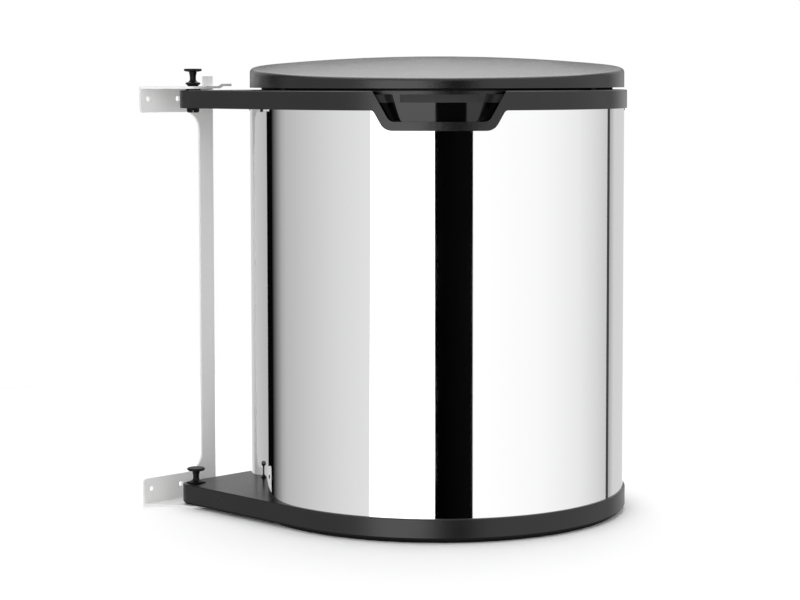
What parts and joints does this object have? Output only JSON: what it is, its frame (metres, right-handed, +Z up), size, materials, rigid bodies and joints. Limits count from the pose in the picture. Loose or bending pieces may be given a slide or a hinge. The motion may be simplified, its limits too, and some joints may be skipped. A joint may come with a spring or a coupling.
{
  "type": "door-mounted trash can",
  "caption": "Round kitchen bin that swings out on a wall bracket, with a steel jacket, dark rim and tray, a lid hinged at the back, a finger grip and a lift-out bucket.",
  "frame": {"origin": "centre of the tray's flat underside, on the axis of the round body, at floor level", "axes": "+Z up; +Y out of the back of the bracket's screw plates, into the cupboard wall or door; +X along that wall, from the pivot towards the bin. The finger grip faces halfway between -X and -Y."},
  "size_m": [0.301, 0.2947, 0.3382],
  "materials": {
    "jacket_steel": "stainless sheet, mirror polished",
    "rim_plastic": "moulded dark grey plastic, fine spark texture",
    "tray_plastic": "moulded dark grey plastic, fine spark texture",
    "lid_plastic": "moulded dark grey plastic, fine grain",
    "pocket_plastic": "polished black plastic",
    "bucket_plastic": "satin grey plastic",
    "pin_plastic": "black nylon, satin",
    "bush_nylon": "black nylon, satin",
    "washer_nylon": "natural nylon",
    "bracket_coat": "white powder coat",
    "plated_steel": "bright zinc plate",
    "buffer_rubber": "soft black rubber"
  },
  "bodies": {
    "bracket": {"wall_bracket": "bracket_coat"},
    "bin_frame": {"rim_ring": "rim_plastic", "rim_screws": "plated_steel", "finger_pocket": "pocket_plastic", "steel_jacket": "jacket_steel", "seam_strap": "plated_steel", "base_tray": "tray_plastic", "upper_pivot_bush": "bush_nylon", "lower_pivot_bush": "bush_nylon", "upper_thrust_washer": "bush_nylon", "lower_thrust_washer": "washer_nylon", "lid_hinge_block": "rim_plastic", "hinge_block_screws": "plated_steel", "hinge_block_nuts": "plated_steel", "lid_hinge_rod": "plated_steel", "rod_end_caps": "pin_plastic"},
    "lid": {"lid_shell": "lid_plastic", "lid_buffers": "buffer_rubber"},
    "bucket": {"inner_bucket": "bucket_plastic"},
    "upper_pin": {"upper_pivot_pin": "pin_plastic"},
    "lower_pin": {"lower_pivot_pin": "pin_plastic"}
  },
  "joints": [
    {"name": "swing", "type": "hinge", "parent": "bracket", "child": "bin_frame", "pos_m": [-0.1314, 0.1252, 0.1585], "axis": [0, 0, -1], "range_deg": [0, 90]},
    {"name": "lid_hinge", "type": "hinge", "parent": "bin_frame", "child": "lid", "pos_m": [0.10536, 0.10536, 0.314], "axis": [-0.7071, 0.7071, 0], "range_deg": [0, 95]},
    {"name": "bucket_lift", "type": "slide", "parent": "bin_frame", "child": "bucket", "axis": [0, 0, 1], "range_m": [0, 0.004]},
    {"name": "upper_pin_pull", "type": "slide", "parent": "bracket", "child": "upper_pin", "axis": [0, 0, 1], "range_m": [0, 0.02]},
    {"name": "lower_pin_pull", "type": "slide", "parent": "bin_frame", "child": "lower_pin", "axis": [0, 0, 1], "range_m": [0, 0.02]}
  ]
}
